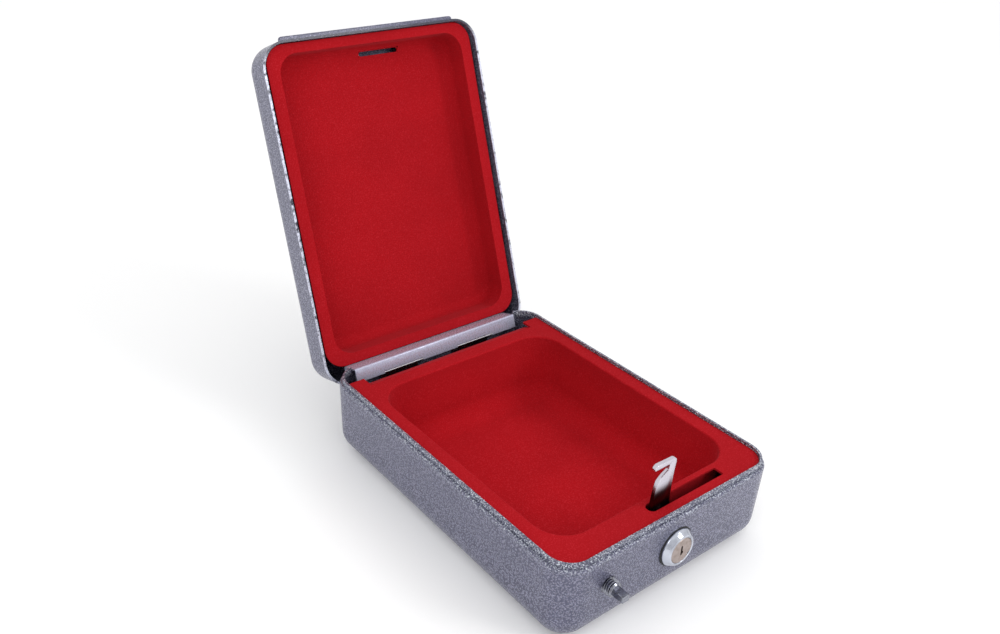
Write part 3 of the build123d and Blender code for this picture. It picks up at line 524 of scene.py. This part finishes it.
def banded_metal(name, level, reach, grain, sparse, plain, banded):
    """A metal with a band of another colour at one height: a painted highlight on the straps, a painted
    dark reflection on the hook.
    """
    mat, nodes, links, shader = new_material(name)
    coord = nodes.new("ShaderNodeTexCoord")
    soil = place_group(
        nodes,
        "fine_soiling",
        soiling_group,
        Clean=plain,
        Soiled=tuple(part * SOILED_SHARE for part in plain[:3]) + (1,),
        Scale=60.0,
        Amount=0.5,
        Smooth=0.25,
        Rough=0.32,
    )
    band = place_group(
        nodes,
        "painted_light_band",
        painted_band_group,
        Level=level,
        Reach=reach,
        Grain=grain,
        Sparse=sparse,
    )
    links.new(coord.outputs["Object"], band.inputs["Vector"])
    edge = ranged(nodes, links, band.outputs["Mask"], start=0.25, end=0.55, smooth=True)
    colour = mixed(nodes, links, edge, soil.outputs["Color"], banded)
    links.new(colour, shader.inputs["Base Color"])
    links.new(soil.outputs["Roughness"], shader.inputs["Roughness"])
    shader.inputs["Metallic"].default_value = 1.0
    bump(nodes, links, soil.outputs["Mask"], shader, strength=0.1, distance=0.00008)
    return mat


# Piece helpers


def dress(node, mat):
    """Gives a carried-over part its finish."""
    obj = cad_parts[node]
    obj.data.materials.clear()
    obj.data.materials.append(mat)
    for slot in obj.material_slots:
        slot.material = mat


def finish_piece(name, bm, mat, body, sharp=35.0):
    """Turns a bmesh into a smooth piece, sharp from an angle in degrees, that rides on a body."""
    bmesh.ops.remove_doubles(bm, verts=bm.verts, dist=MERGE)
    bmesh.ops.recalc_face_normals(bm, faces=bm.faces)
    mesh = bpy.data.meshes.new(name)
    bm.to_mesh(mesh)
    bm.free()
    mesh.polygons.foreach_set("use_smooth", [True] * len(mesh.polygons))
    mesh.set_sharp_from_angle(angle=math.radians(sharp))
    mesh.materials.append(mat)
    obj = bpy.data.objects.new(name, mesh)
    bpy.context.scene.collection.objects.link(obj)
    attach(obj, body)
    return obj


def sharp_edges(bm, angle):
    """The edges between two faces that meet more sharply than an angle."""
    return [e for e in bm.edges if len(e.link_faces) == 2 and e.calc_face_angle() > angle]


def ease(bm, edges, width, segments, clamp=False):
    """Rounds edges over a width."""
    bmesh.ops.bevel(
        bm,
        geom=edges,
        offset=width,
        segments=segments,
        profile=0.5,
        affect="EDGES",
        clamp_overlap=clamp,
        material=-1,
    )


def block(bm, size, middle):
    """A block of a given size round its middle."""
    verts = bmesh.ops.create_cube(bm, size=1.0)["verts"]
    bmesh.ops.scale(bm, verts=verts, vec=size)
    bmesh.ops.translate(bm, verts=verts, vec=middle)
    return verts


def bar(bm, radius, length, start, top=None):
    """A round bar with closed ends, up the Z axis from the height start."""
    made = bmesh.ops.create_cone(
        bm,
        cap_ends=True,
        segments=BAR_SEGMENTS,
        radius1=radius,
        radius2=radius if top is None else top,
        depth=length,
    )
    bmesh.ops.translate(bm, verts=made["verts"], vec=(0, 0, start + length / 2))


def thread(bm, root, crest, pitch, turns, start):
    """A vee thread wound up the Z axis with closed ends."""
    tri = [
        bm.verts.new((root, 0, start)),
        bm.verts.new((crest, 0, start + pitch * THREAD_CREST_SHARE)),
        bm.verts.new((root, 0, start + pitch * THREAD_FOOT_SHARE)),
    ]
    face = bm.faces.new(tri)
    bmesh.ops.spin(
        bm,
        geom=[face] + list(face.edges) + tri,
        cent=(0, 0, 0),
        axis=(0, 0, 1),
        dvec=(0, 0, pitch / THREAD_STEPS),
        angle=2 * math.pi * turns,
        steps=THREAD_STEPS * turns,
    )
    bmesh.ops.holes_fill(bm, edges=[e for e in bm.edges if e.is_boundary], sides=3)


def lid_frame():
    """Turns a form drawn as if the lid were shut into the open lid."""
    pin = Matrix.Translation((0, PIN_Y, PIN_Z))
    return pin @ Matrix.Rotation(-OPEN_ANGLE, 4, "X") @ pin.inverted()


def out_of_front(x, y, z):
    """Places a form drawn up the Z axis so that it stands out of the front wall."""
    return Matrix.Translation((x, y, z)) @ Matrix.Rotation(math.radians(90), 4, "X")


# Pieces


def eased_copy(node, name, mat, body, width, sharp=30.0):
    """A merged copy of a CAD node, its edges over sharp degrees rounded, in that node's place."""
    bm = bmesh.new()
    bm.from_mesh(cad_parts[node].data)
    bmesh.ops.remove_doubles(bm, verts=bm.verts, dist=CAD_MERGE)
    bmesh.ops.dissolve_limit(bm, angle_limit=FLAT_ANGLE, verts=bm.verts, edges=bm.edges)
    ease(bm, sharp_edges(bm, math.radians(sharp)), width=width, segments=2, clamp=True)
    piece = finish_piece(name, bm, mat, body)
    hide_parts(node)


def lid_slot_rim(mat, centre, half, mouth, outer, depth):
    """The soft rim round the hook's slot in the lid's tray, drawn with the lid shut."""
    bm = bmesh.new()
    for radius in (mouth, outer):
        ring = bmesh.ops.create_circle(bm, segments=RIM_SEGMENTS, radius=radius)
        for vert in ring["verts"]:
            vert.co.x += math.copysign(half, vert.co.x)
    bmesh.ops.bridge_loops(bm, edges=list(bm.edges))
    pushed = bmesh.ops.extrude_face_region(bm, geom=list(bm.faces))
    moved = [v for v in pushed["geom"] if isinstance(v, bmesh.types.BMVert)]
    bmesh.ops.translate(bm, verts=moved, vec=(0, 0, depth))
    bmesh.ops.recalc_face_normals(bm, faces=bm.faces)
    ease(bm, sharp_edges(bm, CORNER_ANGLE), width=depth * RIM_EASE_SHARE, segments=3)
    bmesh.ops.translate(bm, verts=bm.verts, vec=centre)
    bmesh.ops.transform(bm, verts=bm.verts, matrix=lid_frame())
    finish_piece("lid_slot_rim", bm, mat, "lid", sharp=50.0)


def tray_apron(mat):
    """The rear edge of the case tray, sloping down in front of the hinge and rolled over."""
    length, depth = APRON_SIZE[1:]
    bm = bmesh.new()
    block(bm, APRON_SIZE, (0, length / 2, -depth / 2))
    upper_rear = [
        e
        for e in bm.edges
        if all(v.co.y > length / 2 and v.co.z > -depth / 2 for v in e.verts)
    ]
    ease(bm, upper_rear, width=APRON_ROLL, segments=6)
    start = Matrix.Translation((0, APRON_FRONT_Y, TRAY_TOP - APRON_SINK))
    slope = start @ Matrix.Rotation(APRON_SLOPE, 4, "X")
    bmesh.ops.transform(bm, verts=bm.verts, matrix=slope)
    finish_piece("tray_apron", bm, mat, "case", sharp=50.0)


def slit_highlight_strips(mat):
    """Bright strips in the two long slits of the hinge channel, a painted highlight for the knuckles' lit
    edge, drawn with the lid shut.
    """
    straps_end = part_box("base_hinge_straps")[1][0]
    middle = straps_end - STRAP_HALF + SLIT_SHIFT
    bm = bmesh.new()
    for side in (-1, 1):
        block(bm, SLIT_SIZE, (side * middle, SLIT_Y, SLIT_Z))
    bmesh.ops.transform(bm, verts=bm.verts, matrix=lid_frame())
    finish_piece("slit_highlight_strips", bm, mat, "lid", sharp=50.0)


def tether_stud(mat):
    """The stud with its collar, screw thread and square tip, in the CAD stud's place."""
    low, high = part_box("anchor_stud")
    x = (low[0] + high[0]) / 2
    z = (low[2] + high[2]) / 2
    bm = bmesh.new()
    bar(bm, radius=0.0035, length=0.0128, start=-0.0090)
    bar(bm, radius=0.0041, length=0.0009, start=0.0038, top=0.0034)
    thread(bm, root=0.0034, crest=0.00425, pitch=0.0013, turns=9, start=-0.0086)
    tip = block(bm, STUD_TIP_SIZE, (0, 0, STUD_TIP_MIDDLE))
    tip_edges = list(dict.fromkeys(e for v in tip for e in v.link_edges))
    ease(bm, tip_edges, width=0.0002, segments=2)
    place = out_of_front(x, low[1] + STUD_REACH - STUD_SINK, z)
    bmesh.ops.transform(bm, verts=bm.verts, matrix=place)
    piece = finish_piece("tether_stud", bm, mat, "case", sharp=18.0)
    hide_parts("anchor_stud")


# Stage


def lay_floor(colour):
    """A wide pale floor with faint soiling."""
    mesh = bpy.data.meshes.new("pale_floor")
    bm = bmesh.new()
    bmesh.ops.create_grid(bm, x_segments=2, y_segments=2, size=FLOOR_HALF)
    bm.to_mesh(mesh)
    bm.free()
    floor = bpy.data.objects.new("pale_floor", mesh)
    bpy.context.scene.collection.objects.link(floor)
    mat, nodes, links, shader = new_material("pale_floor")
    soil = place_group(
        nodes,
        "fine_soiling",
        soiling_group,
        Clean=tuple(colour),
        Soiled=(0.975, 0.975, 0.975, 1),
        Scale=6.0,
        Amount=0.3,
        Smooth=0.75,
        Rough=0.9,
    )
    links.new(soil.outputs["Color"], shader.inputs["Base Color"])
    links.new(soil.outputs["Roughness"], shader.inputs["Roughness"])
    floor.data.materials.append(mat)


def fill_room():
    """An even white light from all round."""
    world = bpy.data.worlds.new("soft_room")
    world.use_nodes = True
    room = world.node_tree.nodes["Background"]
    room.inputs["Color"].default_value = (1.0, 1.0, 1.0, 1)
    room.inputs["Strength"].default_value = 1.0
    bpy.context.scene.world = world


def hang_lamp(name, where, power, size):
    """A soft square lamp aimed at the safe."""
    lamp = bpy.data.lights.new(name, "AREA")
    lamp.energy = power
    lamp.size = size
    obj = bpy.data.objects.new(name, lamp)
    obj.location = where
    aim = LAMP_AIM - Vector(where)
    obj.rotation_euler = aim.to_track_quat("-Z", "Y").to_euler()
    bpy.context.scene.collection.objects.link(obj)


def place_camera(lens):
    """The camera fitted to the photo."""
    cam = bpy.data.cameras.new("photo_camera")
    cam.lens = lens
    cam.sensor_width = 36.0
    cam.shift_x, cam.shift_y = CAMERA_SHIFT
    cam.clip_start = 0.01
    eye = bpy.data.objects.new("photo_camera", cam)
    backwards = CAMERA_RIGHT.cross(CAMERA_UP)
    turn = Matrix((CAMERA_RIGHT, CAMERA_UP, backwards)).transposed().to_4x4()
    eye.matrix_world = Matrix.Translation(CAMERA_PLACE) @ turn
    bpy.context.scene.collection.objects.link(eye)
    bpy.context.scene.camera = eye


# Operators


class SAFE_OT_paint_case(bpy.types.Operator):
    """Paints the case and the lid, and finishes the hinge's straps and channel"""

    bl_idname = "car_safe.paint_case"
    bl_label = "Paint the steelwork"

    def execute(self, context):
        # Painted glints and a slightly darker painted shade band along the case's lip
        case_paint = hammered_paint(
            "hammered_case",
            level=CASE_LIP_LEVEL,
            reach=0.0048,
            grain=1300.0,
            sparse=0.51,
            shaded=0.84,
            glint_colour=(0.86, 0.92, 1.0, 1),
        )
        dress("base_shell", case_paint)
        # Painted glints and a dark painted shade line along the lid's rim
        lid_paint = hammered_paint(
            "hammered_lid",
            level=LID_RIM_LEVEL,
            reach=0.0005,
            grain=300.0,
            sparse=0.34,
            shaded=0.35,
            glint_colour=(0.60, 0.62, 0.74, 1),
            turned=True,
        )
        dress("lid_shell", lid_paint)
        channel_paint = soiled_finish(
            "channel_paint",
            clean=(0.53, 0.54, 0.68, 1),
            soiled=(0.27, 0.27, 0.39, 1),
            smooth=0.22,
            rough=0.5,
            scale=900.0,
            amount=0.65,
            metallic=0.35,
            strength=0.5,
            distance=0.0001,
        )
        # Painted highlight: the straps' knuckles get a bright band
        strap_steel_painted_highlight = banded_metal(
            "strap_steel_painted_highlight",
            level=KNUCKLE_HIGHLIGHT_LEVEL,
            reach=0.0009,
            grain=500.0,
            sparse=0.2,
            plain=(0.46, 0.44, 0.48, 1),
            banded=(0.92, 0.92, 0.97, 1),
        )
        dress("base_hinge_straps", strap_steel_painted_highlight)
        eased_copy(
            "hinge_channel",
            "channel_bar",
            channel_paint,
            "lid",
            width=0.00025,
        )
        # Painted highlight: near-white strips stand for the lit edge of the knuckles in the slits
        painted_slit_highlight = soiled_finish(
            "painted_slit_highlight",
            clean=(0.90, 0.90, 0.96, 1),
            soiled=(0.75, 0.75, 0.82, 1),
            smooth=0.25,
            rough=0.4,
            scale=500.0,
            amount=0.4,
            metallic=0.1,
        )
        slit_highlight_strips(painted_slit_highlight)
        return {"FINISHED"}


class SAFE_OT_flock_trays(bpy.types.Operator):
    """Flocks the tray of the case and the tray of the lid"""

    bl_idname = "car_safe.flock_trays"
    bl_label = "Flock the trays"

    def execute(self, context):
        pile = red_flock()
        for node in ("base_liner", "base_liner_flange", "lid_liner"):
            dress(node, pile)
        lid_slot_rim(
            pile,
            centre=(0.0134, -0.0905, 0.06812),
            half=0.0129,
            mouth=0.0014,
            outer=0.0023,
            depth=0.0010,
        )
        tray_apron(pile)
        return {"FINISHED"}


class SAFE_OT_plate_fittings(bpy.types.Operator):
    """Plates the hinge leaf, the pin and the fastenings, and paints the strike plate dark as painted
    shade in the lid's slot
    """

    bl_idname = "car_safe.plate_fittings"
    bl_label = "Plate the fittings"

    def execute(self, context):
        zinc = soiled_finish(
            "zinc_plate",
            clean=(0.62, 0.62, 0.63, 1),
            soiled=(0.40, 0.39, 0.37, 1),
            smooth=0.22,
            rough=0.42,
            scale=380.0,
            amount=0.7,
        )
        for node in (
            "lid_hinge_leaf",
            "hinge_pin",
            "lock_washer",
            "lock_nut",
            "stop_washer",
            "cam_washer",
            "cam_screw",
            "anchor_stud",
            "stud_washer",
            "stud_nut",
        ):
            dress(node, zinc)
        # Painted shade: the strike plate is near black so the lid's slot reads dark
        strike_steel_painted_shade = soiled_finish(
            "strike_steel_painted_shade",
            clean=(0.055, 0.06, 0.085, 1),
            soiled=(0.03, 0.03, 0.04, 1),
            smooth=0.4,
            rough=0.55,
            scale=300.0,
            amount=0.7,
        )
        dress("strike_plate", strike_steel_painted_shade)
        return {"FINISHED"}


class SAFE_OT_cut_hook(bpy.types.Operator):
    """Cuts the polished hook plate with eased edges, its lower part painted dark as a painted reflection
    of the slot
    """

    bl_idname = "car_safe.cut_hook"
    bl_label = "Cut the hook"

    def execute(self, context):
        # Painted reflection: the hook's lower part is near black, as if the dark slot showed in it
        polish_and_painted_reflection = banded_metal(
            "polished_steel_painted_reflection",
            level=HOOK_DARK_REFLECTION_LEVEL,
            reach=0.022,
            grain=40.0,
            sparse=0.1,
            plain=(0.60, 0.57, 0.64, 1),
            banded=(0.045, 0.016, 0.017, 1),
        )
        eased_copy("cam_hook", "hook_plate", polish_and_painted_reflection, "hook", width=0.0002)
        return {"FINISHED"}


class SAFE_OT_thread_stud(bpy.types.Operator):
    """Turns the tether stud with its screw thread and square tip"""

    bl_idname = "car_safe.thread_stud"
    bl_label = "Thread the stud"

    def execute(self, context):
        dark = soiled_finish(
            "dark_stud",
            clean=(0.30, 0.31, 0.36, 1),
            soiled=(0.05, 0.045, 0.05, 1),
            smooth=0.1,
            rough=0.28,
            scale=900.0,
            amount=0.8,
        )
        tether_stud(dark)
        return {"FINISHED"}


class SAFE_OT_finish_lock(bpy.types.Operator):
    """Gives the lock its chrome bezel, brass plug and dark gasket"""

    bl_idname = "car_safe.finish_lock"
    bl_label = "Finish the lock"

    def execute(self, context):
        chrome = soiled_finish(
            "lock_chrome",
            clean=(0.60, 0.63, 0.71, 1),
            soiled=(0.26, 0.27, 0.32, 1),
            smooth=0.06,
            rough=0.18,
            scale=130.0,
            amount=0.8,
        )
        brass = soiled_finish(
            "lock_brass",
            clean=(0.42, 0.35, 0.325, 1),
            soiled=(0.28, 0.22, 0.19, 1),
            smooth=0.35,
            rough=0.5,
            scale=420.0,
            amount=0.6,
        )
        rubber = soiled_finish(
            "gasket_rubber",
            clean=(0.02, 0.02, 0.02, 1),
            soiled=(0.035, 0.035, 0.035, 1),
            smooth=0.6,
            rough=0.8,
            scale=500.0,
            amount=0.5,
            metallic=0.0,
        )
        eased_copy(
            "lock_housing",
            "lock_bezel",
            chrome,
            "case",
            width=0.00022,
            sharp=20.0,
        )
        dress("lock_core", brass)
        dress("lock_wafers", brass)
        dress("lock_gasket", rubber)
        return {"FINISHED"}


class SAFE_OT_set_stage(bpy.types.Operator):
    """Lays the pale floor, hangs the soft lamps and places the camera"""

    bl_idname = "car_safe.set_stage"
    bl_label = "Set the stage"

    def execute(self, context):
        studio = context.scene.safe_stage
        key_power = studio.key_power
        side_power = key_power * SIDE_LAMP_SHARE
        lay_floor(studio.floor_colour)
        fill_room()
        hang_lamp("key_lamp", (0.55, -0.95, 0.85), power=key_power, size=0.45)
        hang_lamp("side_lamp", (-0.9, -0.5, 0.9), power=side_power, size=0.5)
        place_camera(studio.lens)
        context.scene.view_settings.view_transform = "Standard"
        return {"FINISHED"}


class SAFE_PT_sidebar(bpy.types.Panel):
    """Lists the dressing steps and the settings of the car safe"""

    bl_idname = "SAFE_PT_sidebar"
    bl_label = "Car Safe"
    bl_space_type = "VIEW_3D"
    bl_region_type = "UI"
    bl_category = "Car Safe"

    def draw(self, context):
        column = self.layout.column()
        for step in STEPS:
            column.operator(step.bl_idname)
        column.prop(context.scene.safe_paint, "case_colour")
        column.prop(context.scene.safe_paint, "valley_colour")
        column.prop(context.scene.safe_paint, "cell_size")
        column.prop(context.scene.safe_flock, "pile_colour")
        column.prop(context.scene.safe_flock, "lint_colour")
        column.prop(context.scene.safe_stage, "floor_colour")
        column.prop(context.scene.safe_stage, "key_power")
        column.prop(context.scene.safe_stage, "lens")


STEPS = (
    SAFE_OT_paint_case,
    SAFE_OT_flock_trays,
    SAFE_OT_plate_fittings,
    SAFE_OT_cut_hook,
    SAFE_OT_thread_stud,
    SAFE_OT_finish_lock,
    SAFE_OT_set_stage,
)
CLASSES = (SafePaintSettings, SafeFlockSettings, SafeStageSettings) + STEPS + (SAFE_PT_sidebar,)


def register():
    """Registers the classes and hangs the settings on the scene."""
    for cls in CLASSES:
        bpy.utils.register_class(cls)
    bpy.types.Scene.safe_paint = bpy.props.PointerProperty(type=SafePaintSettings)
    bpy.types.Scene.safe_flock = bpy.props.PointerProperty(type=SafeFlockSettings)
    bpy.types.Scene.safe_stage = bpy.props.PointerProperty(type=SafeStageSettings)


def unregister():
    """Takes the settings and the classes away again."""
    del bpy.types.Scene.safe_stage
    del bpy.types.Scene.safe_flock
    del bpy.types.Scene.safe_paint
    for cls in reversed(CLASSES):
        bpy.utils.unregister_class(cls)


def main():
    """Dresses the frame and sets the stage."""
    register()
    bpy.ops.car_safe.paint_case()
    bpy.ops.car_safe.flock_trays()
    bpy.ops.car_safe.plate_fittings()
    bpy.ops.car_safe.cut_hook()
    bpy.ops.car_safe.thread_stud()
    bpy.ops.car_safe.finish_lock()
    bpy.ops.car_safe.set_stage()


if __name__ == "__main__":
    main()
